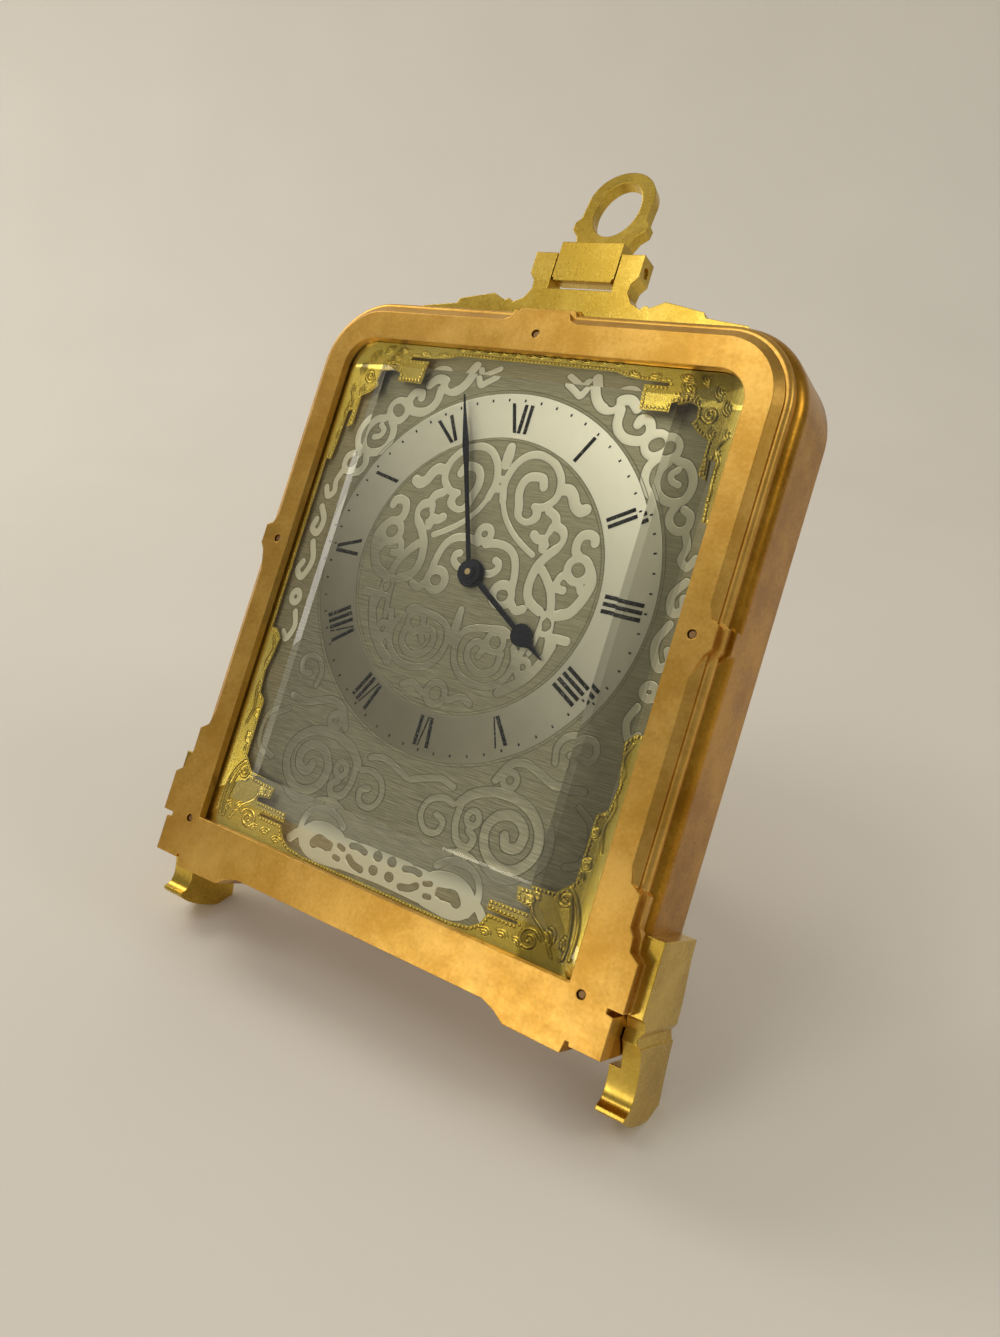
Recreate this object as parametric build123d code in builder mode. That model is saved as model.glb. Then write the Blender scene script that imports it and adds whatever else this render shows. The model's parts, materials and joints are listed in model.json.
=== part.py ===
"""A strut clock: a small gilt table clock that leans back on a folding strut.

World frame: +X to the right as seen from the front, +Y to the back, +Z up, in mm. The origin is on
the ground under the middle of the whole clock. The case leans back, so nearly everything is drawn
in the case's own directions: X across, Y up the case from the middle of the dial, and depth behind
the front face of the frame.
"""
from build123d import *
import math
import os

os.makedirs("parts", exist_ok=True)

# Stance
lean = 31.0
dial_rise = 74.25
dial_setback = -11.04

# Frame layers: half width, height above the dial's middle, and depth behind the face
frame_half, frame_top, frame_corner = 45.6, 45.6, 11.4
plate_half, plate_top, plate_corner = 46.8, 46.8, 12.6
body_half, body_top, body_corner = 48.2, 48.0, 14.0
plate_front, body_front, case_back, cover_back = 1.6, 3.2, 17.0, 18.2
bullnose = 2.6
opening_half, opening_top, opening_low = 40.0, 39.0, -56.1
cavity_half, cavity_top, cavity_low, flange_back = 44.4, 44.4, -60.6, 4.4
pin_spots = [(0, 42.1), (-42.7, -2.0), (42.7, -2.0), (-42.3, -57.0), (42.3, -57.0)]
side_screw_spots = [(-57.0, 14.0), (-49.5, 13.0)]
dial_screw_spots = [(-42.4, 28), (42.4, 28), (-42.4, -46), (42.4, -46)]
cover_screw_spots = [(-46.2, -30), (46.2, -30), (-46.2, 26), (46.2, 26)]

# Glass, mask and dial
rebate_half, rebate_top, rebate_low = 41.2, 40.2, -57.3
flat_half, flat_top, flat_low = 29.5, 34.0, -45.0
glass_front, rim_front, glass_back, mask_front = 0.1, 1.7, 2.6, 2.85
dial_back = 5.2
hour_way, minute_hand_way = 90 - 122.0, 90 - 338.5

# Lower edge of the three case layers: its right half, as places across and up
scalloped_edge = [(46.8, -57.2), (46.8, -58.0), (48.0, -58.2), (48.0, -64.6), (42.7, -64.6), (42.6, -64.0),
                  (42.0, -64.0), (41.6, -66.0), (31.5, -65.9), (29.5, -64.6), (27.0, -63.7), (0, -63.7)]

# Movement: depths of the plates and of what stands between them
front_plate_front, front_plate_back = 7.2, 8.2
back_plate_front, back_plate_back = 13.2, 14.2
plate_half_side = 31.0
pillar_spots = [(-27.5, -27.5), (27.5, -27.5), (-27.5, 27.5), (27.5, 27.5)]
dial_foot_spots = [(-20, 28.5), (20, 28.5), (-20, -28.5), (20, -28.5)]
pivot, pivot_hole = 0.35, 0.39

# Wheelwork: teeth, modules and the direction from each arbor to the next
barrel_teeth, centre_leaves, barrel_module = 72, 12, 0.36
centre_teeth, third_leaves, centre_module = 64, 8, 0.30
third_teeth, fourth_leaves, third_module = 60, 8, 0.28
fourth_teeth, escape_leaves, fourth_module = 64, 8, 0.20
cannon_leaves, minute_teeth, cannon_module = 12, 36, 0.35
minute_leaves, hour_teeth = 10, 40
hour_module = cannon_module * (cannon_leaves + minute_teeth) / (minute_leaves + hour_teeth)
barrel_way, third_way, fourth_way, escape_way, minute_way = 225.0, 100.0, 10.0, -45.0, -30.0

# Strut
strut_angle = 41.0
strut_pivot, strut_pivot_depth = 20.0, 20.6


def stepped(spot, way, distance):
    """The place at a distance from another, in a direction given in degrees."""
    turn = math.radians(way)
    return (spot[0] + distance * math.cos(turn), spot[1] + distance * math.sin(turn))


centre_spot = (0.0, 0.0)
barrel_spot = stepped(centre_spot, barrel_way, barrel_module * (barrel_teeth + centre_leaves) / 2)
third_spot = stepped(centre_spot, third_way, centre_module * (centre_teeth + third_leaves) / 2)
fourth_spot = stepped(third_spot, fourth_way, third_module * (third_teeth + fourth_leaves) / 2)
escape_spot = stepped(fourth_spot, escape_way, fourth_module * (fourth_teeth + escape_leaves) / 2)
minute_spot = stepped(centre_spot, minute_way, cannon_module * (cannon_leaves + minute_teeth) / 2)
lever_spot = stepped(escape_spot, -60.0, 5.4)
balance_spot = stepped(escape_spot, -60.0, 13.4)
click_spot = stepped(barrel_spot, 137.0, 9.0)

# Directions of the case in the world
out_of_face = Vector(0, -math.cos(math.radians(lean)), math.sin(math.radians(lean)))
up_the_case = Vector(0, math.sin(math.radians(lean)), math.cos(math.radians(lean)))
seat = Vector(0, dial_setback, dial_rise)
through_face = Axis(seat, out_of_face)


def face_at(depth):
    """A plane parallel to the dial, at a depth behind the front face."""
    return Plane(origin=seat - out_of_face * depth, x_dir=(1, 0, 0), z_dir=out_of_face)


def side_at(x):
    """A plane across the case at x, with depth as its first direction and up the case as its second."""
    return Plane(origin=seat + Vector(x, 0, 0), x_dir=out_of_face * -1, z_dir=(1, 0, 0))


def end_at(height):
    """A plane square to the case at a height, with X first and out of the face second."""
    return Plane(origin=seat + up_the_case * height, x_dir=(-1, 0, 0), z_dir=up_the_case)


def mirrored(points):
    """A closed outline from its right-hand half, which starts and ends on the middle line."""
    return points + [(-x, y) for x, y in reversed(points) if x > 0.001]


def slab(points, front, back, corner=0.0, mode=Mode.ADD):
    """A plate parallel to the dial with a polygon outline. Its two top corners may be rounded."""
    with BuildSketch(face_at(back)) as outline:
        with BuildLine():
            Polyline(*points, close=True)
        make_face()
        if corner:
            fillet(outline.vertices().group_by(Axis.Y)[-1], corner)
    extrude(outline.sketch, amount=back - front, mode=mode)


def box(half, top, low, front, back, corner=0.0, mode=Mode.ADD):
    """A rectangular plate parallel to the dial, mirrored about the middle line."""
    slab([(-half, low), (half, low), (half, top), (-half, top)], front, back, corner, mode)


def disc(spot, radius, front, back, mode=Mode.ADD):
    """A round piece square to the dial."""
    with BuildSketch(face_at(back)) as outline:
        with Locations(spot):
            Circle(radius)
    extrude(outline.sketch, amount=back - front, mode=mode)


def discs(spots, radius, front, back, mode=Mode.ADD):
    """Like disc, at several places."""
    with BuildSketch(face_at(back)) as outline:
        with Locations(*spots):
            Circle(radius)
    extrude(outline.sketch, amount=back - front, mode=mode)


def cross_pins(spots, radius, start, end, mode=Mode.ADD):
    """Round pieces along X at places given as height up the case and depth."""
    with BuildSketch(side_at(start)) as outline:
        with Locations(*[(depth, height) for height, depth in spots]):
            Circle(radius)
    extrude(outline.sketch, amount=end - start, mode=mode)


def toothed(spot, count, module, way, front, back, gap=False):
    """A toothed rim with slim straight teeth, one of them, or one gap, in the direction given."""
    pitch = module * count / 2
    root, tip = pitch - 1.2 * module, pitch + 0.75 * module
    turn = 360 / count
    start = way + (turn / 2 if gap else 0)
    wide, slim = math.degrees(0.56 * module / root), math.degrees(0.27 * module / tip)
    corners = []
    for tooth in range(count):
        angle = start + tooth * turn
        corners.append(stepped(spot, angle - wide, root))
        corners.append(stepped(spot, angle - slim, tip))
        corners.append(stepped(spot, angle + slim, tip))
        corners.append(stepped(spot, angle + wide, root))
    slab(corners, front, back)


def crossings(spot, rim, hub, arm, way, front, back):
    """The four windows that leave a wheel with a rim, a hub and four arms."""
    with BuildSketch(face_at(back)) as windows:
        with Locations(spot):
            Circle(rim)
            Circle(hub, mode=Mode.SUBTRACT)
            Rectangle(2 * rim + 1, arm, rotation=way, mode=Mode.SUBTRACT)
            Rectangle(arm, 2 * rim + 1, rotation=way, mode=Mode.SUBTRACT)
    extrude(windows.sketch, amount=back - front, mode=Mode.SUBTRACT)


def ribbon(spot, inner, outer, half_turns, thick, front, back):
    """A flat spiral strip made of half circles whose radius grows by an even step."""
    step = (outer - inner) / half_turns
    outside, inside = [], []
    x, side = spot[0] + inner, 1
    for turn in range(half_turns):
        radius = inner + step * (turn + 0.5)
        middle = x - side * radius
        outside.append((middle, radius + thick / 2, side))
        inside.append((middle, radius - thick / 2, side))
        x = middle - side * radius
        side = -side
    with BuildSketch(face_at(back)) as strip:
        with BuildLine():
            for middle, radius, side in outside:
                ThreePointArc((middle + side * radius, spot[1]), (middle, spot[1] + side * radius),
                              (middle - side * radius, spot[1]))
            for middle, radius, side in inside:
                ThreePointArc((middle + side * radius, spot[1]), (middle, spot[1] + side * radius),
                              (middle - side * radius, spot[1]))
            middle, radius, side = outside[0]
            Line((middle + side * radius, spot[1]), (middle + side * (radius - thick), spot[1]))
            middle, radius, side = outside[-1]
            Line((middle - side * radius, spot[1]), (middle - side * (radius - thick), spot[1]))
        make_face()
    extrude(strip.sketch, amount=back - front)


def lower_skirt(upper, flare, front, back):
    """The lower part of a layer, which steps out in two stops and ends in the scalloped edge."""
    half = [(0, -38), (upper - 2.4, -36.8), (upper - 1.7, -39.4), (upper, -40.5), (upper, -45.4),
            (upper + 0.8, -46.6), (upper + 1, -48.6), (flare, -49.8), (flare, -57.2)]
    slab(mirrored(half + scalloped_edge), front, back)


def side_stops(reach, front, back):
    """The square stops at the middle of a layer's sides and top."""
    tab = [(reach - 2, 2.4), (reach - 1.3, 0.8), (reach, 0.2), (reach, -3.4), (reach - 0.9, -4.6),
           (reach - 1.8, -7.4), (reach - 2, -8)]
    slab([(opening_half + 2, 2.4)] + tab + [(opening_half + 2, -8)], front, back)
    slab([(-opening_half - 2, 2.4)] + [(-x, y) for x, y in tab] + [(-opening_half - 2, -8)], front, back)
    slab(mirrored([(0, 41), (7.3, 41), (7.3, reach - 2), (6.0, reach - 1.4), (5.5, reach - 0.2),
                   (0, reach - 0.2)]), front, back)


def front_edges(piece):
    """The edges round the front outline of a piece."""
    return piece.edges().group_by(through_face)[-1]


# Front frame: chamfered gilt border with the opening for the glass
with BuildPart() as front_frame:
    box(frame_half, frame_top, -44, 0, plate_front, frame_corner)
    chamfer(front_edges(front_frame), 1.2, 1.4)
    lower_skirt(46.6, 49.3, 0, plate_front)
    side_stops(46.3, 0, plate_front)
    box(opening_half, opening_top, opening_low, 0, plate_front, 5.6, Mode.SUBTRACT)
    discs(pin_spots, 0.75, 0, plate_front, Mode.SUBTRACT)
front_frame.part.label = "front_frame"
export_step(front_frame.part, "parts/front_frame.step")

# Moulding plate: the second step, whose rebate holds the glass and the mask
with BuildPart() as moulding_plate:
    box(plate_half, plate_top, -44, plate_front, body_front, plate_corner)
    fillet(front_edges(moulding_plate), 0.9)
    lower_skirt(47.5, 49.8, plate_front, body_front)
    side_stops(47.5, plate_front, body_front)
    box(rebate_half, rebate_top, rebate_low, plate_front, body_front, 6.8, Mode.SUBTRACT)
    discs(pin_spots, 0.6, plate_front, body_front, Mode.SUBTRACT)
moulding_plate.part.label = "moulding_plate"
export_step(moulding_plate.part, "parts/moulding_plate.step")

# Case body: the side band with its rounded front edge, open at the back
with BuildPart() as case_body:
    box(body_half, body_top, -60, body_front, case_back, body_corner)
    fillet(front_edges(case_body), bullnose)
    slab(mirrored([(0, -46), (body_half, -46), (body_half, -57.2)] + scalloped_edge), body_front, case_back)
    slab([(45, 1.5), (body_half, 0.2), (body_half, -3.4), (45, -7)], body_front, 6)
    slab([(-45, 1.5), (-body_half, 0.2), (-body_half, -3.4), (-45, -7)], body_front, 6)
    slab([(-7, 45), (7, 45), (5.5, body_top), (-5.5, body_top)], body_front, 6)
    box(cavity_half, cavity_top, cavity_low, flange_back, case_back, 10.4, Mode.SUBTRACT)
    box(opening_half + 0.5, opening_top + 0.5, opening_low - 0.5, body_front, flange_back, 6, Mode.SUBTRACT)
    discs(pin_spots, 0.6, body_front, flange_back, Mode.SUBTRACT)
    discs(dial_screw_spots, 0.5, 3.7, flange_back, Mode.SUBTRACT)
    cross_pins(side_screw_spots, 0.95, cavity_half - 1, body_half + 1, Mode.SUBTRACT)
    cross_pins(side_screw_spots, 0.95, -body_half - 1, 1 - cavity_half, Mode.SUBTRACT)
    with BuildSketch(end_at(cavity_top - 1)) as bracket_holes:
        with Locations((-20, -10.8), (20, -10.8)):
            Circle(0.95)
    extrude(bracket_holes.sketch, amount=5, mode=Mode.SUBTRACT)
    discs(cover_screw_spots, 0.7, 11, case_back, Mode.SUBTRACT)
case_body.part.label = "case_body"
export_step(case_body.part, "parts/case_body.step")

# Frame pins: five pins that hold the two front layers on the body
with BuildPart() as frame_pins:
    discs(pin_spots, 0.6, 0.35, flange_back)
frame_pins.part.label = "frame_pins"
export_step(frame_pins.part, "parts/frame_pins.step")

# Bevelled glass: a flat middle flush with the frame and four wide bevels down to a thin rim
with BuildPart() as bevelled_glass:
    with BuildSketch(face_at(rim_front)) as bevel_foot:
        with BuildLine():
            Polyline((-39.8, -55.9), (39.8, -55.9), (39.8, 38.8), (-39.8, 38.8), close=True)
        make_face()
    with BuildSketch(face_at(glass_front)) as bevel_flat:
        with BuildLine():
            Polyline((-flat_half, flat_low), (flat_half, flat_low), (flat_half, flat_top),
                     (-flat_half, flat_top), close=True)
        make_face()
    loft([bevel_foot.sketch.face(), bevel_flat.sketch.face()])
    box(39.9, 38.9, -56, 0, rim_front, 5.6, Mode.INTERSECT)
    box(rebate_half - 0.1, rebate_top - 0.1, rebate_low + 0.1, rim_front, glass_back, 6.8)
bevelled_glass.part.label = "bevelled_glass"
export_step(bevelled_glass.part, "parts/bevelled_glass.step")

# Corner mask: the pierced gilt sheet behind the glass
mask_half = [(0, 37.1), (16, 37.1), (18, 36.4), (21.7, 36.0), (26, 36.0), (26.2, 35.3), (21.9, 35.3),
             (22.3, 31.8), (27.5, 31.8), (27.5, 33.3), (29.4, 34.0), (31.3, 33.3), (31.6, 31.3),
             (31.0, 30.5), (32.7, 29.0), (34.6, 28.2), (34.6, 22.5), (36.1, 21.9), (35.7, 25.2),
             (36.8, 25.1), (37.2, 18.4), (37.5, 15.3), (38.7, 15.3), (38.8, -18.3), (37.3, -18.4),
             (35.8, -20.0), (36.4, -24.0), (37.0, -26.5), (36.5, -30.6), (34.8, -31.9), (34.7, -42.5),
             (32.1, -45.0), (26.4, -45.4), (26.8, -47.6), (29.6, -48.1), (29.6, -48.9), (22.2, -49.1),
             (22.2, -50.8), (28.0, -50.8), (28.0, -51.3), (22.6, -51.4), (21.7, -53.4), (19.9, -54.6),
             (16.0, -55.2), (0, -55.2)]
with BuildPart() as corner_mask:
    box(rebate_half - 0.1, rebate_top - 0.1, rebate_low + 0.1, mask_front, body_front, 6.8)
    slab(mirrored(mask_half), mask_front, body_front, mode=Mode.SUBTRACT)
corner_mask.part.label = "corner_mask"
export_step(corner_mask.part, "parts/corner_mask.step")

# Dial plate, with its feet that carry the movement and the screws that hold it to the flange
with BuildPart() as dial_plate:
    box(cavity_half - 0.2, cavity_top - 0.2, cavity_low + 0.2, flange_back, dial_back, 10.2)
    disc(centre_spot, 2.2, flange_back, dial_back, Mode.SUBTRACT)
    discs(dial_screw_spots, 0.55, flange_back, dial_back, Mode.SUBTRACT)
dial_plate.part.label = "dial_plate"
export_step(dial_plate.part, "parts/dial_plate.step")

with BuildPart() as dial_feet:
    discs(dial_foot_spots, 1.6, dial_back, front_plate_front)
    discs(dial_foot_spots, 0.8, front_plate_front, front_plate_back)
dial_feet.part.label = "dial_feet"
export_step(dial_feet.part, "parts/dial_feet.step")

with BuildPart() as dial_screws:
    for x, y in [(-42.4, 28), (42.4, 28), (-42.4, -46), (42.4, -46)]:
        disc((x, y), 0.5, 3.8, dial_back)
        disc((x, y), 1.3, dial_back, 5.9)
        slab([(x - 2, y - 0.2), (x + 2, y - 0.2), (x + 2, y + 0.2), (x - 2, y + 0.2)], 5.55, 5.9,
             mode=Mode.SUBTRACT)
dial_screws.part.label = "dial_screws"
export_step(dial_screws.part, "parts/dial_screws.step")

# Top bracket: two lugs on spreading wings, standing on the top of the case
bracket_front, bracket_back = 8.8, 12.8
pin_height, pin_depth = 59.2, 10.8
bracket_half = [(0, 54.7), (6.6, 54.7), (6.6, 61.6), (11.1, 61.6), (11.1, 57.5), (10.0, 56.2),
                (9.8, 54.6), (11.0, 52.7), (13.2, 51.7), (14.8, 52.0), (17.6, 53.3), (25.0, 51.9),
                (25.6, 50.9), (33.2, 50.0), (34.3, 49.3), (34.3, body_top), (0, body_top)]
with BuildPart() as top_bracket:
    slab(mirrored(bracket_half), bracket_front, bracket_back)
    disc((14.1, 51.6), 0.8, bracket_front, bracket_back)
    disc((-14.1, 51.6), 0.8, bracket_front, bracket_back)
    cross_pins([(pin_height, pin_depth)], 0.95, -12, 12, Mode.SUBTRACT)
    with BuildSketch(end_at(body_top)) as screw_holes:
        with Locations((-20, -10.8), (20, -10.8)):
            Circle(0.9)
    extrude(screw_holes.sketch, amount=2.6, mode=Mode.SUBTRACT)
top_bracket.part.label = "top_bracket"
export_step(top_bracket.part, "parts/top_bracket.step")

with BuildPart() as bracket_screws:
    for x in (-20, 20):
        with BuildSketch(end_at(cavity_top - 1.2)) as head:
            with Locations((x, -10.8)):
                Circle(1.7)
        extrude(head.sketch, amount=1.2)
        with BuildSketch(end_at(cavity_top)) as shank:
            with Locations((x, -10.8)):
                Circle(0.9)
        extrude(shank.sketch, amount=body_top - cavity_top + 2.5)
bracket_screws.part.label = "bracket_screws"
export_step(bracket_screws.part, "parts/bracket_screws.step")

# Loop handle: a block between the lugs with a flat ring that leans back from it
ring_tilt = 10.5
block_back, ring_back, ring_low, ring_thick = 12.8, 13.7, 62.0, 2.3
with BuildPart() as loop_handle:
    box(6.3, 63.7, 56.9, bracket_front, block_back)
    box(5.9, 56.95, 56.3, bracket_front, bracket_front + 1.2)
    ring_seat = face_at(ring_back).location * Location((0, ring_low, 0), (-ring_tilt, 0, 0))
    with BuildSketch(Plane(ring_seat)) as ring:
        with BuildLine():
            Polyline((0, 0), (5.6, 0), (5.4, 2.6), (6.2, 4.6), (7.5, 5.8), (7.6, 7.4), (6.7, 8.4), (6.6, 11.5))
            ThreePointArc((6.6, 11.5), (0, 18.7), (-6.6, 11.5))
            Polyline((-6.6, 11.5), (-6.7, 8.4), (-7.6, 7.4), (-7.5, 5.8), (-6.2, 4.6), (-5.4, 2.6), (-5.6, 0),
                     (0, 0))
        make_face()
        with Locations((0, 10.4)):
            Ellipse(4.5, 6.0, mode=Mode.SUBTRACT)
    extrude(ring.sketch, amount=ring_thick)
    cross_pins([(pin_height, pin_depth)], 1.0, -8, 8, Mode.SUBTRACT)
loop_handle.part.label = "loop_handle"
export_step(loop_handle.part, "parts/loop_handle.step")

with BuildPart() as loop_pin:
    cross_pins([(pin_height, pin_depth)], 0.95, -10.7, 10.7)
loop_pin.part.label = "loop_pin"
export_step(loop_pin.part, "parts/loop_pin.step")

# Feet: a plate on the case's side that turns under the case and ends in a rounded claw
foot_inner, foot_outer = 46.3, 51.2
foot_front = [(17.0, -46.0), (3.2, -46.0), (3.2, -57.6), (4.7, -58.2), (5.6, -59.6), (5.5, -61.8)]
foot_cove = [(5.5, -61.8), (7.4, -64.1), (8.8, -67.0), (9.6, -69.8), (9.5, -71.8), (8.2, -73.0)]
foot_heel = [(8.2, -73.6), (10.2, -74.5), (13.0, -75.1), (16.5, -75.3), (20.2, -74.9), (22.5, -73.4)]
foot_rear = [(22.5, -73.4), (21.6, -70.0), (20.4, -65.0), (20.0, -62.4), (19.1, -56.0), (17.2, -49.0),
             (17.0, -46.0)]
foot_groove = [(foot_outer + 1, -59.2), (foot_outer, -59.7), (foot_outer - 0.7, -60.9),
               (foot_outer - 0.3, -62.3), (foot_outer + 1, -62.4)]
sole_cut = Plane(origin=(0, 0, 0), z_dir=(0, 0, 1))


def foot_outline():
    """The foot seen from its side."""
    Polyline(*foot_front)
    Spline(*foot_cove)
    Line(foot_cove[-1], foot_heel[0])
    Spline(*foot_heel)
    Polyline(*foot_rear)


with BuildPart() as foot_right:
    with BuildSketch(side_at(body_half)) as upper:
        with BuildLine():
            foot_outline()
        make_face()
    extrude(upper.sketch, amount=foot_outer - body_half)
    with BuildSketch(side_at(foot_inner)) as lower:
        with BuildLine():
            foot_outline()
        make_face()
        with Locations((10, -56.3)):
            Rectangle(60, 20.8, mode=Mode.SUBTRACT)
    extrude(lower.sketch, amount=body_half - foot_inner)
    slab(foot_groove, 2, 24, mode=Mode.SUBTRACT)
    cross_pins(side_screw_spots, 0.9, body_half, body_half + 2.4, Mode.SUBTRACT)
    with BuildSketch(sole_cut) as ground:
        Rectangle(300, 300)
    extrude(ground.sketch, amount=-30, mode=Mode.SUBTRACT)
foot_right.part.label = "foot_right"
export_step(foot_right.part, "parts/foot_right.step")

with BuildPart() as foot_left:
    add(mirror(foot_right.part, about=Plane.YZ, mode=Mode.PRIVATE))
foot_left.part.label = "foot_left"
export_step(foot_left.part, "parts/foot_left.step")

with BuildPart() as foot_screws:
    cross_pins(side_screw_spots, 0.9, cavity_half, body_half + 2.3)
    cross_pins(side_screw_spots, 1.7, cavity_half - 1.2, cavity_half)
    cross_pins(side_screw_spots, 0.9, -body_half - 2.3, -cavity_half)
    cross_pins(side_screw_spots, 1.7, -cavity_half, 1.2 - cavity_half)
foot_screws.part.label = "foot_screws"
export_step(foot_screws.part, "parts/foot_screws.step")

# Back cover, with holes for the key over the winding and hand-setting squares
hinge_screw_spots = [(-10.5, strut_pivot - 3.2), (10.5, strut_pivot - 3.2)]
with BuildPart() as back_cover:
    box(body_half, body_top, -62, case_back, cover_back, body_corner)
    slab(mirrored([(0, -55), (body_half, -55), (body_half, -63.6), (0, -63.6)]), case_back, cover_back)
    disc(barrel_spot, 2.8, case_back, cover_back, Mode.SUBTRACT)
    disc(centre_spot, 2.8, case_back, cover_back, Mode.SUBTRACT)
    discs(cover_screw_spots, 0.75, case_back, cover_back, Mode.SUBTRACT)
    discs(hinge_screw_spots, 0.7, case_back, cover_back, Mode.SUBTRACT)
back_cover.part.label = "back_cover"
export_step(back_cover.part, "parts/back_cover.step")

with BuildPart() as cover_screws:
    for x, y in cover_screw_spots:
        disc((x, y), 0.7, 11.2, cover_back)
        disc((x, y), 1.5, cover_back, cover_back + 0.8)
        slab([(x - 2, y - 0.2), (x + 2, y - 0.2), (x + 2, y + 0.2), (x - 2, y + 0.2)],
             cover_back + 0.4, cover_back + 0.8, mode=Mode.SUBTRACT)
cover_screws.part.label = "cover_screws"
export_step(cover_screws.part, "parts/cover_screws.step")

# Strut hinge: a plate on the cover with two knuckles and a stop rib above the strut
with BuildPart() as strut_hinge:
    box(13, strut_pivot + 4.5, strut_pivot - 4.5, cover_back, cover_back + 1.0)
    for start in (-12.5, 8.5):
        with BuildSketch(side_at(start)) as knuckle:
            with Locations((strut_pivot_depth, strut_pivot)):
                Circle(1.6)
            with Locations((strut_pivot_depth - 1.2, strut_pivot)):
                Rectangle(2.4, 3.2)
        extrude(knuckle.sketch, amount=4.0)
    cross_pins([(strut_pivot, strut_pivot_depth)], 0.7, -13, 13, Mode.SUBTRACT)
    discs(hinge_screw_spots, 0.7, cover_back, cover_back + 1.0, Mode.SUBTRACT)
strut_hinge.part.label = "strut_hinge"
export_step(strut_hinge.part, "parts/strut_hinge.step")

# Strut: a flat leg that swings on the hinge, with a heel that meets the hinge plate when it is out
swing = math.radians(strut_angle)
strut_pin_place = seat + up_the_case * strut_pivot - out_of_face * strut_pivot_depth
strut_face = out_of_face * math.cos(swing) - up_the_case * math.sin(swing)
strut_plane = Plane(origin=strut_pin_place, x_dir=(1, 0, 0), z_dir=strut_face)
strut_half = [(0, -2), (8.3, -2), (8.3, -6), (12, -13), (10.5, -30), (9.5, -56), (11.5, -70),
              (14.0, -78), (14.0, -90), (0, -90)]
with BuildPart() as strut:
    with BuildSketch(strut_plane.offset(-1.0)) as leg:
        with BuildLine():
            Polyline(*mirrored(strut_half), close=True)
        make_face()
    extrude(leg.sketch, amount=2.0)
    with BuildSketch(Plane(origin=strut_pin_place - Vector(8.3, 0, 0), x_dir=strut_face, z_dir=(1, 0, 0))) as heel:
        Circle(1.3)
        with BuildLine():
            Polyline((-1.0, 2.6), (-1.0, -1.3), (0.6, -1.3), (1.0, 2.6), close=True)
        make_face()
    extrude(heel.sketch, amount=16.6)
    with BuildSketch(side_at(-9)) as bore:
        with Locations((strut_pivot_depth, strut_pivot)):
            Circle(0.75)
    extrude(bore.sketch, amount=18, mode=Mode.SUBTRACT)
    with BuildSketch(sole_cut) as strut_ground:
        Rectangle(300, 300)
    extrude(strut_ground.sketch, amount=-30, mode=Mode.SUBTRACT)
strut.part.label = "strut"
export_step(strut.part, "parts/strut.step")

with BuildPart() as strut_pin:
    cross_pins([(strut_pivot, strut_pivot_depth)], 0.7, -12.8, 12.8)
strut_pin.part.label = "strut_pin"
export_step(strut_pin.part, "parts/strut_pin.step")

with BuildPart() as hinge_screws:
    discs(hinge_screw_spots, 0.7, case_back + 0.4, cover_back + 1.0)
    discs(hinge_screw_spots, 1.3, cover_back + 1.0, cover_back + 1.6)
hinge_screws.part.label = "hinge_screws"
export_step(hinge_screws.part, "parts/hinge_screws.step")

# Hands
def hand_outline(way, half):
    """A closed outline along a hand, from places given as distance from the middle and half width."""
    turn = math.radians(way)
    along, across = (math.cos(turn), math.sin(turn)), (-math.sin(turn), math.cos(turn))
    both = half + [(reach, -wide) for reach, wide in reversed(half)]
    return [(reach * along[0] + wide * across[0], reach * along[1] + wide * across[1])
            for reach, wide in both]


with BuildPart() as hour_hand:
    disc(centre_spot, 2.5, 3.75, 4.1)
    slab(hand_outline(hour_way, [(1, 0.5), (13.8, 0.45), (16.6, 1.55), (18.0, 0.5), (21.2, 0.1)]), 3.75, 4.1)
    disc(stepped(centre_spot, hour_way, 15.4), 1.95, 3.75, 4.1)
    disc(centre_spot, 1.6, 3.7, 4.2, Mode.SUBTRACT)
hour_hand.part.label = "hour_hand"
export_step(hour_hand.part, "parts/hour_hand.step")

with BuildPart() as minute_hand:
    disc(centre_spot, 2.2, 3.05, 3.4)
    slab(hand_outline(minute_hand_way, [(1, 0.4), (12, 0.36), (19, 0.4), (23.5, 0.6), (27, 0.4),
                                        (30, 0.2), (33.2, 0.08)]), 3.05, 3.4)
    disc(centre_spot, 1.05, 3.0, 3.5, Mode.SUBTRACT)
minute_hand.part.label = "minute_hand"
export_step(minute_hand.part, "parts/minute_hand.step")

with BuildPart() as hand_washer:
    disc(centre_spot, 1.2, 2.72, 3.0)
    disc(centre_spot, 0.55, 2.7, 3.05, Mode.SUBTRACT)
hand_washer.part.label = "hand_washer"
export_step(hand_washer.part, "parts/hand_washer.step")

# Motion work, between the dial and the front plate
with BuildPart() as cannon_pinion:
    disc(centre_spot, 1.05, 3.0, 7.0)
    toothed(centre_spot, cannon_leaves, cannon_module, minute_way, 6.2, 6.95)
    disc(centre_spot, 0.6, 2.9, 7.1, Mode.SUBTRACT)
cannon_pinion.part.label = "cannon_pinion"
export_step(cannon_pinion.part, "parts/cannon_pinion.step")

with BuildPart() as hour_wheel:
    disc(centre_spot, 1.6, 3.75, 6.0)
    toothed(centre_spot, hour_teeth, hour_module, minute_way, 5.5, 6.0)
    disc(centre_spot, 1.15, 3.7, 6.1, Mode.SUBTRACT)
hour_wheel.part.label = "hour_wheel"
export_step(hour_wheel.part, "parts/hour_wheel.step")

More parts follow.
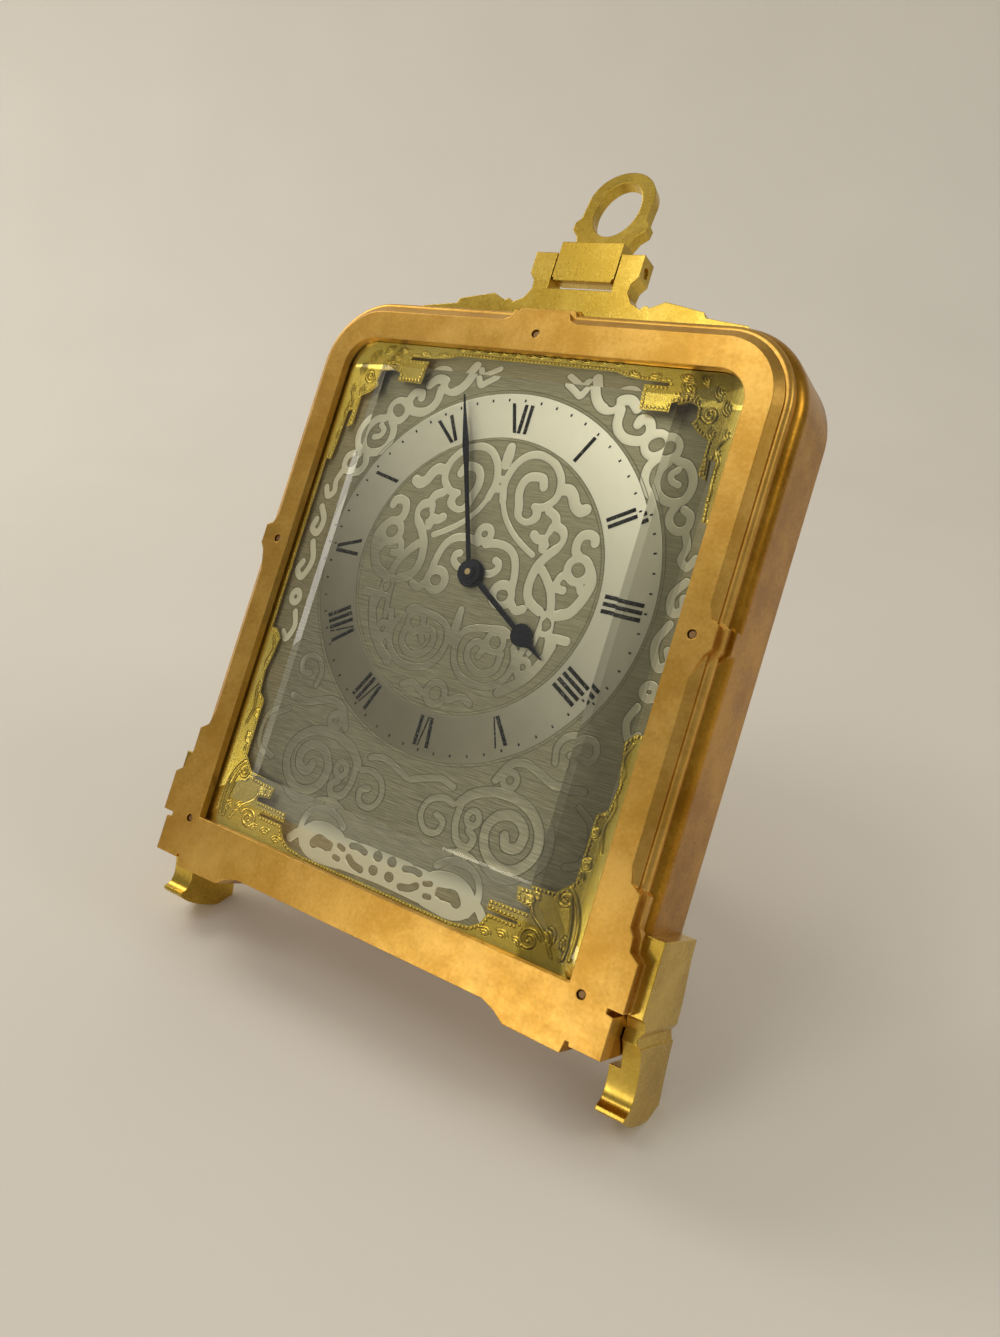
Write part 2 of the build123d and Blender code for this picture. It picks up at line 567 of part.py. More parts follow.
with BuildPart() as minute_wheel:
    toothed(minute_spot, minute_teeth, cannon_module, minute_way + 180, 6.25, 6.85, gap=True)
    toothed(minute_spot, minute_leaves, hour_module, minute_way + 180, 5.4, 6.25, gap=True)
    disc(minute_spot, 0.55, 5.3, 6.9, Mode.SUBTRACT)
minute_wheel.part.label = "minute_wheel"
export_step(minute_wheel.part, "parts/minute_wheel.step")

# Plates and pillars
with BuildPart() as front_plate:
    box(plate_half_side, plate_half_side, -plate_half_side, front_plate_front, front_plate_back, 4)
    disc(minute_spot, 0.5, 5.35, front_plate_front)
    discs(dial_foot_spots, 0.8, front_plate_front, front_plate_back, Mode.SUBTRACT)
    discs([third_spot, fourth_spot, escape_spot, lever_spot, balance_spot], pivot_hole,
          front_plate_front, front_plate_back, Mode.SUBTRACT)
    disc(barrel_spot, 1.15, front_plate_front, front_plate_back, Mode.SUBTRACT)
    disc(centre_spot, 0.6, front_plate_front, front_plate_back, Mode.SUBTRACT)
front_plate.part.label = "front_plate"
export_step(front_plate.part, "parts/front_plate.step")

with BuildPart() as pillars:
    discs(pillar_spots, 2.0, front_plate_back, back_plate_front)
    discs(pillar_spots, 0.7, 11.0, back_plate_front, Mode.SUBTRACT)
pillars.part.label = "pillars"
export_step(pillars.part, "parts/pillars.step")

cock_foot = stepped(balance_spot, -60, 9.9)
with BuildPart() as back_plate:
    box(plate_half_side, plate_half_side, -plate_half_side, back_plate_front, back_plate_back, 4)
    discs([third_spot, fourth_spot, escape_spot, lever_spot], pivot_hole,
          back_plate_front, back_plate_back, Mode.SUBTRACT)
    disc(balance_spot, 1.1, back_plate_front, back_plate_back, Mode.SUBTRACT)
    disc(barrel_spot, 1.15, back_plate_front, back_plate_back, Mode.SUBTRACT)
    disc(centre_spot, 0.95, back_plate_front, back_plate_back, Mode.SUBTRACT)
    discs(pillar_spots, 0.7, back_plate_front, back_plate_back, Mode.SUBTRACT)
    disc(cock_foot, 0.6, back_plate_front, back_plate_back, Mode.SUBTRACT)
    disc(click_spot, 0.6, back_plate_front, back_plate_back, Mode.SUBTRACT)
back_plate.part.label = "back_plate"
export_step(back_plate.part, "parts/back_plate.step")

with BuildPart() as plate_screws:
    discs(pillar_spots, 0.7, 11.1, back_plate_back)
    discs(pillar_spots, 1.7, back_plate_back, back_plate_back + 0.8)
plate_screws.part.label = "plate_screws"
export_step(plate_screws.part, "parts/plate_screws.step")

# Going barrel
with BuildPart() as barrel:
    disc(barrel_spot, 11.9, 9.4, 12.9)
    toothed(barrel_spot, barrel_teeth, barrel_module, barrel_way + 180, 12.1, 12.9)
    disc(barrel_spot, 11.2, 9.3, 12.3, Mode.SUBTRACT)
    disc(barrel_spot, 1.65, 12.2, 13.0, Mode.SUBTRACT)
barrel.part.label = "barrel"
export_step(barrel.part, "parts/barrel.step")

with BuildPart() as barrel_cover:
    disc(barrel_spot, 11.2, 9.4, 10.0)
    disc(barrel_spot, 1.65, 9.3, 10.1, Mode.SUBTRACT)
barrel_cover.part.label = "barrel_cover"
export_step(barrel_cover.part, "parts/barrel_cover.step")

with BuildPart() as mainspring:
    ribbon(barrel_spot, 3.2, 10.6, 13, 0.22, 10.2, 12.1)
mainspring.part.label = "mainspring"
export_step(mainspring.part, "parts/mainspring.step")


def square_end(spot, half, front, back, mode=Mode.ADD):
    """A square part of an arbor."""
    x, y = spot
    slab([(x - half, y - half), (x + half, y - half), (x + half, y + half), (x - half, y + half)],
         front, back, mode=mode)


with BuildPart() as barrel_arbor:
    disc(barrel_spot, 1.1, 7.3, back_plate_back)
    disc(barrel_spot, 1.6, 8.3, 13.1)
    disc(barrel_spot, 2.6, 10.1, 12.2)
    square_end(barrel_spot, 0.75, back_plate_back, 16.9)
barrel_arbor.part.label = "barrel_arbor"
export_step(barrel_arbor.part, "parts/barrel_arbor.step")

ratchet_teeth, ratchet_root, ratchet_tip = 24, 4.4, 5.0
ratchet_outline = []
for tooth in range(ratchet_teeth):
    start = tooth * 360 / ratchet_teeth
    ratchet_outline.append(stepped(barrel_spot, start, ratchet_root))
    ratchet_outline.append(stepped(barrel_spot, start + 12, ratchet_tip))
with BuildPart() as ratchet_wheel:
    slab(ratchet_outline, 14.35, 15.15)
    square_end(barrel_spot, 0.75, 14.3, 15.2, Mode.SUBTRACT)
ratchet_wheel.part.label = "ratchet_wheel"
export_step(ratchet_wheel.part, "parts/ratchet_wheel.step")

click_nose = stepped(barrel_spot, 165, ratchet_tip + 0.15)
with BuildPart() as click:
    disc(click_spot, 1.4, 14.35, 15.05)
    slab([click_nose, stepped(click_spot, 180, 1.35), stepped(click_spot, 10, 1.35)], 14.35, 15.05)
    disc(click_spot, 0.65, 14.3, 15.1, Mode.SUBTRACT)
click.part.label = "click"
export_step(click.part, "parts/click.step")

with BuildPart() as click_screw:
    disc(click_spot, 0.6, 13.4, 15.1)
    disc(click_spot, 1.2, 15.1, 15.7)
click_screw.part.label = "click_screw"
export_step(click_screw.part, "parts/click_screw.step")

# Going train
with BuildPart() as centre_wheel:
    disc(centre_spot, 0.55, 2.72, 8.3)
    disc(centre_spot, 0.9, 8.3, back_plate_back)
    square_end(centre_spot, 0.6, back_plate_back, 16.9)
    toothed(centre_spot, centre_leaves, barrel_module, barrel_way, 11.7, 13.0, gap=True)
    toothed(centre_spot, centre_teeth, centre_module, third_way, 8.5, 9.1)
    crossings(centre_spot, 7.8, 2.2, 1.3, third_way, 8.4, 9.2)
centre_wheel.part.label = "centre_wheel"
export_step(centre_wheel.part, "parts/centre_wheel.step")

with BuildPart() as third_wheel:
    disc(third_spot, pivot, 7.3, 14.1)
    disc(third_spot, 0.6, 8.3, 13.1)
    toothed(third_spot, third_leaves, centre_module, third_way + 180, 8.4, 9.3, gap=True)
    toothed(third_spot, third_teeth, third_module, fourth_way, 9.8, 10.4)
    crossings(third_spot, 6.8, 1.9, 1.1, fourth_way, 9.7, 10.5)
third_wheel.part.label = "third_wheel"
export_step(third_wheel.part, "parts/third_wheel.step")

with BuildPart() as fourth_wheel:
    disc(fourth_spot, pivot, 7.3, 14.1)
    disc(fourth_spot, 0.5, 8.3, 13.1)
    toothed(fourth_spot, fourth_leaves, third_module, fourth_way + 180, 9.6, 10.6, gap=True)
    toothed(fourth_spot, fourth_teeth, fourth_module, escape_way, 11.4, 11.8)
    crossings(fourth_spot, 5.2, 1.5, 0.8, escape_way, 11.3, 11.9)
fourth_wheel.part.label = "fourth_wheel"
export_step(fourth_wheel.part, "parts/fourth_wheel.step")

escape_outline = []
for tooth in range(15):
    start = tooth * 24
    escape_outline.append(stepped(escape_spot, start, 2.5))
    escape_outline.append(stepped(escape_spot, start + 16, 3.35))
    escape_outline.append(stepped(escape_spot, start + 18, 3.4))
with BuildPart() as escape_wheel:
    disc(escape_spot, pivot, 7.3, 14.1)
    disc(escape_spot, 0.45, 10.6, 13.1)
    toothed(escape_spot, escape_leaves, fourth_module, escape_way + 180, 11.1, 12.1, gap=True)
    slab(escape_outline, 12.45, 12.75)
    crossings(escape_spot, 2.1, 0.9, 0.4, 0, 12.4, 12.8)
escape_wheel.part.label = "escape_wheel"
export_step(escape_wheel.part, "parts/escape_wheel.step")

# Lever and balance
lever_way = -60.0


def from_lever(along, across):
    """A place measured from the lever's pivot, along the line to the balance and across it."""
    spot = stepped(lever_spot, lever_way, along)
    return stepped(spot, lever_way + 90, across)


with BuildPart() as pallet_lever:
    disc(lever_spot, pivot, 7.3, 14.1)
    disc(lever_spot, 0.6, 12.0, 13.0)
    slab([from_lever(0.7, 0.6), from_lever(-1.2, 2.0), from_lever(-1.7, 3.0), from_lever(-2.5, 2.7),
          from_lever(-2.5, 2.35), from_lever(-1.9, 1.7), from_lever(-0.7, 0), from_lever(-1.9, -1.7),
          from_lever(-2.5, -2.35), from_lever(-2.5, -2.7), from_lever(-1.7, -3.0), from_lever(-1.2, -2.0),
          from_lever(0.7, -0.6), from_lever(5.6, -0.25), from_lever(6.4, -0.7), from_lever(6.4, -0.35),
          from_lever(6.0, 0), from_lever(6.4, 0.35), from_lever(6.4, 0.7), from_lever(5.6, 0.25)],
         12.35, 12.75)
pallet_lever.part.label = "pallet_lever"
export_step(pallet_lever.part, "parts/pallet_lever.step")

with BuildPart() as balance_wheel:
    disc(balance_spot, pivot, 7.3, 16.3)
    disc(balance_spot, 0.5, 8.3, 15.8)
    disc(balance_spot, 1.5, 11.6, 12.1)
    disc(stepped(balance_spot, 120, 1.1), 0.2, 12.0, 12.8)
    disc(balance_spot, 7.0, 15.0, 15.6)
    crossings(balance_spot, 6.1, 1.0, 0.8, 0, 14.9, 15.7)
balance_wheel.part.label = "balance_wheel"
export_step(balance_wheel.part, "parts/balance_wheel.step")

with BuildPart() as balance_spring:
    disc(balance_spot, 0.95, 14.35, 14.85)
    disc(balance_spot, 0.5, 14.3, 14.9, Mode.SUBTRACT)
    ribbon(balance_spot, 0.9, 4.4, 9, 0.12, 14.45, 14.75)
balance_spring.part.label = "balance_spring"
export_step(balance_spring.part, "parts/balance_spring.step")

with BuildPart() as balance_cock:
    disc(cock_foot, 2.0, back_plate_back, 16.45)
    disc(balance_spot, 2.4, 15.85, 16.45)
    slab([stepped(balance_spot, 30, 1.8), stepped(balance_spot, 210, 1.8), stepped(cock_foot, 210, 1.9),
          stepped(cock_foot, 30, 1.9)], 15.85, 16.45)
    disc(balance_spot, 0.8, 16.45, 16.8)
    disc(balance_spot, pivot_hole, 15.8, 16.35, Mode.SUBTRACT)
    disc(cock_foot, 0.6, back_plate_back, 16.5, Mode.SUBTRACT)
balance_cock.part.label = "balance_cock"
export_step(balance_cock.part, "parts/balance_cock.step")

with BuildPart() as cock_screw:
    disc(cock_foot, 0.6, 13.3, 16.45)
    disc(cock_foot, 1.2, 16.45, 16.85)
cock_screw.part.label = "cock_screw"
export_step(cock_screw.part, "parts/cock_screw.step")

with BuildPart() as regulator_index:
    disc(balance_spot, 1.5, 16.5, 16.8)
    tip = stepped(balance_spot, 120, 6.5)
    slab([stepped(balance_spot, 60, 1.3), tip, stepped(balance_spot, 180, 1.3)], 16.5, 16.8)
    disc(balance_spot, 0.85, 16.4, 16.9, Mode.SUBTRACT)
regulator_index.part.label = "regulator_index"
export_step(regulator_index.part, "parts/regulator_index.step")
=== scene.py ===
"""Looks of a strut clock: a small gilt table clock that leans back on a folding strut.

The clock is drawn in its case's own directions, in millimetres: x across, y up the case from the
middle of the dial, and depth behind the front face of the frame. placed() turns these into the
shared frame's metres.
"""
import json
import math
import bpy
import numpy as np
from mathutils import Matrix, Vector


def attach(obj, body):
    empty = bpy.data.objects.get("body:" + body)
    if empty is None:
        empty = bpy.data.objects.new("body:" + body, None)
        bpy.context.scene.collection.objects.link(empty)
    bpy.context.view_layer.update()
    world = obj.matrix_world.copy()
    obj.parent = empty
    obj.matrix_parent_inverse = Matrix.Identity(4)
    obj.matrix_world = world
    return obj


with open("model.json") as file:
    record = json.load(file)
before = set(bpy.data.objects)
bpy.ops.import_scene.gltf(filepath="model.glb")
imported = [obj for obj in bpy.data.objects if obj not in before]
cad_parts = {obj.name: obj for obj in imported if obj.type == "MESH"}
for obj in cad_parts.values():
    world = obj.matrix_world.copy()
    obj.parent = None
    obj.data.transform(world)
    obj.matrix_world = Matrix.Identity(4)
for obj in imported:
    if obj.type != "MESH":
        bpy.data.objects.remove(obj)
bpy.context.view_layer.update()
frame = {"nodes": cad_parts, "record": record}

# The case and where it stands. It leans back 31 degrees on its two feet and its strut, so
# everything on it is worked out in its own directions first and then set in its place.
mm = 0.001
lean = math.radians(31)
dial_middle = np.array([0.0, -11.04, 74.25])
across = np.array([1.0, 0.0, 0.0])
up_case = np.array([0.0, math.sin(lean), math.cos(lean)])
out_of_face = np.array([0.0, -math.cos(lean), math.sin(lean)])


def placed(x, y, depth):
    """The shared frame's points for places on the case.

    x times the way across, plus y times the way up, less depth times the way out of the face.
    """
    x, y, depth = np.broadcast_arrays(x, y, depth)
    point = dial_middle + x[..., None] * across + y[..., None] * up_case - depth[..., None] * out_of_face
    return point * mm


# The camera stands a little to the right of the clock and level with its loop, as the photograph
# was taken, and looks down past the dial. Its focal length is in pixels of the photograph's height.
photo_height, focal_length = 1337, 1049
view_right = np.array([0.8247, 0.2941, -0.4831])
view_down = np.array([0.2301, -0.9547, -0.1885])
view_ahead = np.array([-0.5167, 0.0443, -0.8550])
lens_place = placed(100.4, -22.0, -144.8)
case_turn = np.column_stack([across, up_case, out_of_face])
turn = np.column_stack([case_turn @ view_right, -(case_turn @ view_down), -(case_turn @ view_ahead)])
camera_data = bpy.data.cameras.new("camera")
camera_data.sensor_fit = "VERTICAL"
camera_data.sensor_height = 24.0
camera_data.lens = 24.0 * focal_length / photo_height
camera_data.clip_start = 0.01
camera = bpy.data.objects.new("camera", camera_data)
bpy.context.scene.collection.objects.link(camera)
seen_from = Matrix(turn.tolist()).to_4x4()
seen_from.translation = Vector(lens_place)
camera.matrix_world = seen_from
bpy.context.scene.camera = camera


# The table and the room: a plain pale floor that curves up behind, and a pale surround. Soft square
# lamps stand at the left, above, low in front and at the right, clear of what the glass mirrors.
class Value:
    """A shader socket with arithmetic: each sum, difference, product or comparison adds its Math node."""

    def __init__(self, finish, socket):
        self.finish = finish
        self.socket = socket

    def math(self, operation, first, second=0.0):
        return self.finish.node("Math", {"operation": operation}, {0: first, 1: second})

    def __add__(self, other):
        return self.math("ADD", self, other)

    def __radd__(self, other):
        return self.math("ADD", other, self)

    def __sub__(self, other):
        return self.math("SUBTRACT", self, other)

    def __rsub__(self, other):
        return self.math("SUBTRACT", other, self)

    def __mul__(self, other):
        return self.math("MULTIPLY", self, other)

    def __rmul__(self, other):
        return self.math("MULTIPLY", other, self)

    def __truediv__(self, other):
        return self.math("DIVIDE", self, other)

    def __gt__(self, other):
        return self.math("GREATER_THAN", self, other)

    def __lt__(self, other):
        return self.math("LESS_THAN", self, other)

    def __abs__(self):
        return self.math("ABSOLUTE", self)


class Finish:
    """A material with one Principled shader. What is the same all over is set on its sockets."""

    def __init__(self, name, colour, **constants):
        self.material = bpy.data.materials.new(name)
        self.material.use_nodes = True
        self.tree = self.material.node_tree
        self.tree.nodes.clear()
        self.shader = self.tree.nodes.new("ShaderNodeBsdfPrincipled")
        self.output = self.tree.nodes.new("ShaderNodeOutputMaterial")
        self.tree.links.new(self.shader.outputs[0], self.output.inputs[0])
        self.shader.inputs["Base Color"].default_value = (*colour, 1.0)
        for socket, value in constants.items():
            self.shader.inputs[socket.replace("_", " ")].default_value = value

    def node(self, kind, settings, sockets, output=0):
        """Any node: its type, its settings, which are set first, and its sockets' values or links."""
        made = self.tree.nodes.new("ShaderNode" + kind)
        for key, value in settings.items():
            if key == "stops":
                while len(made.color_ramp.elements) < len(value):
                    made.color_ramp.elements.new(1.0)
                for element, (place, colour) in zip(made.color_ramp.elements, value):
                    element.position = place
                    element.color = (*colour, 1.0)
            else:
                setattr(made, key, value)
        for key, value in sockets.items():
            if isinstance(value, Value):
                self.tree.links.new(value.socket, made.inputs[key])
            else:
                made.inputs[key].default_value = value
        return Value(self, made.outputs[output])

    def feed(self, socket, value):
        """Links a varying value to the shader."""
        self.tree.links.new(value.socket, self.shader.inputs[socket])

    def on_case(self):
        """Object coordinates turned into the case's own millimetres: across, up and out of the face."""
        coordinates = self.node("TexCoord", {}, {}, output=3)
        middle = -np.array([across, up_case, out_of_face]) @ dial_middle
        stood_up = (lean - math.pi / 2, 0, 0)
        return self.node("Mapping", {}, {"Vector": coordinates, "Location": tuple(middle),
                                         "Rotation": stood_up, "Scale": (1000, 1000, 1000)})

    def noise(self, place, scale, detail=3.0, rough=0.55):
        """Soft random clouds, 0 to 1, with so many to a millimetre."""
        return self.node("TexNoise", {}, {"Vector": place, "Scale": scale, "Detail": detail,
                                          "Roughness": rough})

    def mix(self, factor, first, second):
        """A colour between two, each a colour or a link."""
        first = first if isinstance(first, Value) else (*first, 1.0)
        second = second if isinstance(second, Value) else (*second, 1.0)
        return self.node("Mix", {"data_type": "RGBA"}, {0: factor, 6: first, 7: second}, output=2)

    def spread(self, value, low, high):
        """The part of a value from low to high, stretched to 0 and 1 with soft ends."""
        return self.node("MapRange", {"interpolation_type": "SMOOTHSTEP"},
                         {"Value": value, "From Min": low, "From Max": high})

    def bump(self, height, distance, strength=1.0, normal=None):
        """A height in units of distance, in metres, fed to the shader's normal."""
        sockets = {"Height": height, "Distance": distance, "Strength": strength}
        if normal:
            sockets["Normal"] = normal
        self.feed("Normal", self.node("Bump", {}, sockets))


floor_finish = Finish("pale_floor", (0.80, 0.77, 0.72), Roughness=0.8)
place = floor_finish.on_case()
mottle = floor_finish.noise(place, 0.012, 2.0, 0.5)
floor_finish.feed("Base Color", floor_finish.mix(mottle, (0.74, 0.71, 0.655), (0.80, 0.77, 0.715)))
behind = np.array([-0.56, 0.83, 0.0])
beside = np.array([0.83, 0.56, 0.0])
bend = np.radians(np.arange(0, 91, 6))
run = np.concatenate([[-1.5, -0.6, 0.0], 0.32 + 0.3 * np.sin(bend), [0.62]])
rise = np.concatenate([[0.0, 0.0, 0.0], 0.3 * (1 - np.cos(bend)), [1.6]])
span = np.array([-1.6, -0.5, 0.5, 1.6])
sweep = run[:, None, None] * behind + span[:, None] * beside
sweep = sweep + rise[:, None, None] * np.array([0.0, 0.0, 1.0])
count = len(span)
corners = [(r * count + c, r * count + c + 1, (r + 1) * count + c + 1, (r + 1) * count + c)
           for r in range(len(run) - 1) for c in range(count - 1)]
floor_mesh = bpy.data.meshes.new("floor")
floor_mesh.from_pydata(sweep.reshape(-1, 3).tolist(), [], corners)
floor_mesh.polygons.foreach_set("use_smooth", [True] * len(floor_mesh.polygons))
floor_mesh.materials.append(floor_finish.material)
floor = bpy.data.objects.new("floor", floor_mesh)
bpy.context.scene.collection.objects.link(floor)

room_light, mirrored_room_light = 0.55, 0.30
surround = bpy.data.worlds.new("surround")
surround.use_nodes = True
sky = surround.node_tree.nodes["Background"]
sky.inputs[0].default_value = (0.86, 0.82, 0.75, 1.0)
ray = surround.node_tree.nodes.new("ShaderNodeLightPath")
dim = surround.node_tree.nodes.new("ShaderNodeMapRange")
dim.inputs["To Min"].default_value = room_light
dim.inputs["To Max"].default_value = mirrored_room_light
surround.node_tree.links.new(ray.outputs["Is Glossy Ray"], dim.inputs["Value"])
surround.node_tree.links.new(dim.outputs[0], sky.inputs[1])
bpy.context.scene.world = surround
bpy.context.scene.view_settings.view_transform = "Standard"


def lamp(name, place, aim, size, power, colour=(1, 1, 1)):
    """A square soft lamp at a place, of a size in metres and a power in watts, turned to a point."""
    light = bpy.data.lights.new(name, "AREA")
    light.size = size
    light.energy = power
    light.color = colour
    lit = bpy.data.objects.new(name, light)
    way = Vector(aim) - Vector(place)
    lit.matrix_world = Matrix.Translation(place) @ way.to_track_quat("-Z", "Y").to_matrix().to_4x4()
    bpy.context.scene.collection.objects.link(lit)


clock_middle = (0, 0, 0.07)
lamp("key_lamp", (-0.80, 0.05, 0.74), clock_middle, 0.40, 2.6, (1.0, 0.93, 0.80))
lamp("wall_lamp", (-0.25, -0.40, 0.90), clock_middle, 0.34, 1.20, (1.0, 0.95, 0.86))
lamp("left_lamp", (-0.88, 0.06, 0.14), clock_middle, 0.22, 0.25, (1.0, 0.97, 0.92))
lamp("low_lamp", (-0.34, -0.86, 0.16), clock_middle, 0.26, 0.90, (1.0, 0.92, 0.78))
lamp("fill_lamp", (0.85, 0.10, 0.60), clock_middle, 0.30, 1.0, (1.0, 0.92, 0.78))


# The frame and the body are cast brass, filed in steps, gilt and then rubbed to a warm satin. The
# body's gilt is painted darker and browner than the frame's: painted shade for its side, which
# faces away from the light. Five pins hold the two front layers on the body.
def gilt(name, pale, deep, rough, grain, worn, edge=0.22):
    """A gilt finish: two tones mottled by coarse and fine noise, with edges rounded by so many mm.

    A piece that carries these values is darker where they are high: painted shade in its hollows and at the
    edges of its raised work, where some grime also sits.
    """
    finish = Finish(name, pale, Metallic=1.0)
    place = finish.on_case()
    cloud = finish.noise(place, 0.09, 4.0, 0.62)
    speck = finish.noise(place, 1.6, 2.0, 0.5)
    tone = finish.spread(cloud * 0.75 + speck * 0.25, 0.36, 0.66)
    # Painted shade, with some grime: the attribute darkens the colour towards a tenth of the deep tone.
    grime = finish.node("Attribute", {"attribute_name": "grime"}, {}, output=2)
    finish.feed("Base Color", finish.mix(grime, finish.mix(tone, deep, pale), tuple(0.12 * np.array(deep))))
    finish.feed("Roughness", rough + worn * (finish.noise(place, 0.35, 5.0, 0.65) - 0.5))
    rounded = finish.node("Bevel", {"samples": 6}, {"Radius": edge * mm})
    finish.bump(finish.noise(place, grain, 3.0, 0.6), 0.03 * mm, 0.35, rounded)
    return finish


def dress(finish, *nodes):
    """Gives CAD nodes their finish."""
    for node in nodes:
        for slot in frame["nodes"][node].material_slots:
            slot.material = finish.material


frame_gilt = gilt("frame_gilt", (0.80, 0.49, 0.12), (0.62, 0.34, 0.06), 0.36, 2.2, 0.20)
dress(frame_gilt, "front_frame", "moulding_plate")
# Painted shade: the body's gilt is a darker, browner copy of the frame's gilt.
body_gilt_painted_shade = gilt("body_gilt_painted_shade", (0.56, 0.29, 0.035), (0.36, 0.16, 0.012), 0.30, 2.2, 0.22)
dress(body_gilt_painted_shade, "case_body", "back_cover")
pin_finish = gilt("pin_finish", (0.45, 0.28, 0.13), (0.25, 0.15, 0.07), 0.45, 3.0, 0.1)
dress(pin_finish, "frame_pins", "strut_pin")

# The bracket, its loop, the feet and the strut are lemon-coloured brass castings, rubbed smooth.
# They are screwed to the body and to the back cover.
lemon_gilt = gilt("lemon_gilt", (0.76, 0.54, 0.105), (0.56, 0.37, 0.05), 0.28, 1.8, 0.18)
dress(lemon_gilt, "top_bracket", "loop_handle", "loop_pin", "foot_left", "foot_right")
dress(lemon_gilt, "strut", "strut_hinge")

# The movement's plates and wheels are brushed brass, and its screws and arbors polished steel. It is
# shut in the case, and only the back shows the winding square's hole.
works_brass = gilt("works_brass", (0.78, 0.60, 0.28), (0.66, 0.48, 0.20), 0.30, 3.0, 0.1, 0.05)
works_steel = gilt("works_steel", (0.56, 0.57, 0.58), (0.42, 0.43, 0.45), 0.28, 3.0, 0.1, 0.05)
for item in frame["record"]["subparts"]:
    if item["material_slot"] == "movement_brass":
        dress(works_brass, item["node"])
    if item["material_slot"] == "movement_steel":
        dress(works_steel, item["node"])

# The glass is a thick plate with four wide polished bevels. Its middle stands level with the
# frame's face, and its rim is held behind the frame's edge. A slope in the finish steepens each
# bevel, so that it shifts the dial behind it as the real one does. The right bevel's colour is
# also painted darker: a painted shade for the dark that it refracts and mirrors.
flat_half, flat_top, flat_low = 29.5, 34.0, -45.0
right_slope, left_slope, top_slope, low_slope = 0.60, 0.25, 0.30, 0.50
behind_rim, painted_dark_bevel_end = -2.3, 37.4
glass_finish = Finish("bevelled_glass", (0.97, 0.985, 0.97), Roughness=0.0, IOR=1.5, Transmission_Weight=1.0)
shade = glass_finish.node("LightPath", {}, {}, output=1)
clear = glass_finish.node("BsdfTransparent", {}, {"Color": (0.93, 0.95, 0.93, 1.0)})
shining = Value(glass_finish, glass_finish.shader.outputs[0])
seen = glass_finish.node("MixShader", {}, {0: shade, 1: shining, 2: clear})
glass_finish.tree.links.new(seen.socket, glass_finish.output.inputs[0])
place = glass_finish.on_case()
x, y, z = [glass_finish.node("SeparateXYZ", {}, {0: place}, output=k) for k in range(3)]
right = x.math("MAXIMUM", x - flat_half, 0.0) * right_slope
left = x.math("MAXIMUM", -flat_half - x, 0.0) * left_slope
above = x.math("MAXIMUM", y - flat_top, 0.0) * top_slope
below = x.math("MAXIMUM", flat_low - y, 0.0) * low_slope
fall = x.math("MAXIMUM", right + left + above, below)
# Painted shade: the right bevel's colour is painted darker, from the flat's edge to its end near the rim.
painted_dark_bevel = glass_finish.spread(x, flat_half - 0.1, flat_half + 0.1) * (x < painted_dark_bevel_end)
glass_finish.feed("Base Color", glass_finish.mix(painted_dark_bevel, (0.97, 0.985, 0.97), (0.60, 0.60, 0.54)))
glass_finish.bump(fall * (z > behind_rim) * -1.0, mm)
dress(glass_finish, "bevelled_glass")


# The mask is thin brass, pierced to a scrolled outline, engraved with leaves and mercury gilt. The
# engraving is a fine sheet on its face, whose height is worked out from the engraver's strokes.
def smooth_path(points, steps=8):
    """A Catmull-Rom curve through points: on each span the four nearest points, weighted by cubics."""
    points = np.array(points, float)
    ends = np.vstack([2 * points[0] - points[1], points, 2 * points[-1] - points[-2]])
    t = np.linspace(0, 1, steps, endpoint=False)[:, None]
    spans = [0.5 * (2 * b + (c - a) * t + (2 * a - 5 * b + 4 * c - d) * t**2
                    + (3 * b - 3 * c + d - a) * t**3)
             for a, b, c, d in zip(ends, ends[1:], ends[2:], ends[3:])]
    return np.vstack(spans + [points[-1:]])


def nearest(x, y, strokes):
    """How far places are from the edge of the nearest stroke, and less than 0 inside one.

    The distance to each piece of a stroke's middle line, less half of its width there.
    """
    least = np.full(x.shape, 9.0)
    for width, points in strokes:
        path = smooth_path(points) if len(points) < 20 else np.array(points)
        low, high = path.min(0) - 3, path.max(0) + 3
        near = (x > low[0]) & (x < high[0]) & (y > low[1]) & (y < high[1])
        px, py = x[near][:, None], y[near][:, None]
        ax, ay = path[:-1, 0], path[:-1, 1]
        bx, by = path[1:, 0] - ax, path[1:, 1] - ay
        along = np.clip(((px - ax) * bx + (py - ay) * by) / (bx * bx + by * by + 1e-9), 0, 1)
        away = np.hypot(px - ax - along * bx, py - ay - along * by) - width / 2
        least[near] = np.minimum(least[near], away.min(1))
    return least


def grid_cells(number):
    """The four-cornered faces between a grid's numbered points. A point with -1 is left out."""
    cells = np.stack([number[:-1, :-1], number[:-1, 1:], number[1:, 1:], number[1:, :-1]], -1).reshape(-1, 4)
    return cells[(cells >= 0).all(1)]


def piece(name, points, faces, finish, slot, body="case", **values):
    """A piece from points and faces, riding on a body, with values for its material at each point."""
    mesh = bpy.data.meshes.new(name)
    mesh.from_pydata(points.tolist(), [], [list(face) for face in np.asarray(faces, object)])
    mesh.polygons.foreach_set("use_smooth", [True] * len(mesh.polygons))
    for key, value in values.items():
        held = mesh.attributes.new(key, "FLOAT", "POINT")
        held.data.foreach_set("value", value.ravel().astype(np.float32))
    mesh.materials.append(finish.material)
    item = bpy.data.objects.new(name, mesh)
    bpy.context.scene.collection.objects.link(item)
    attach(item, body)
    return item


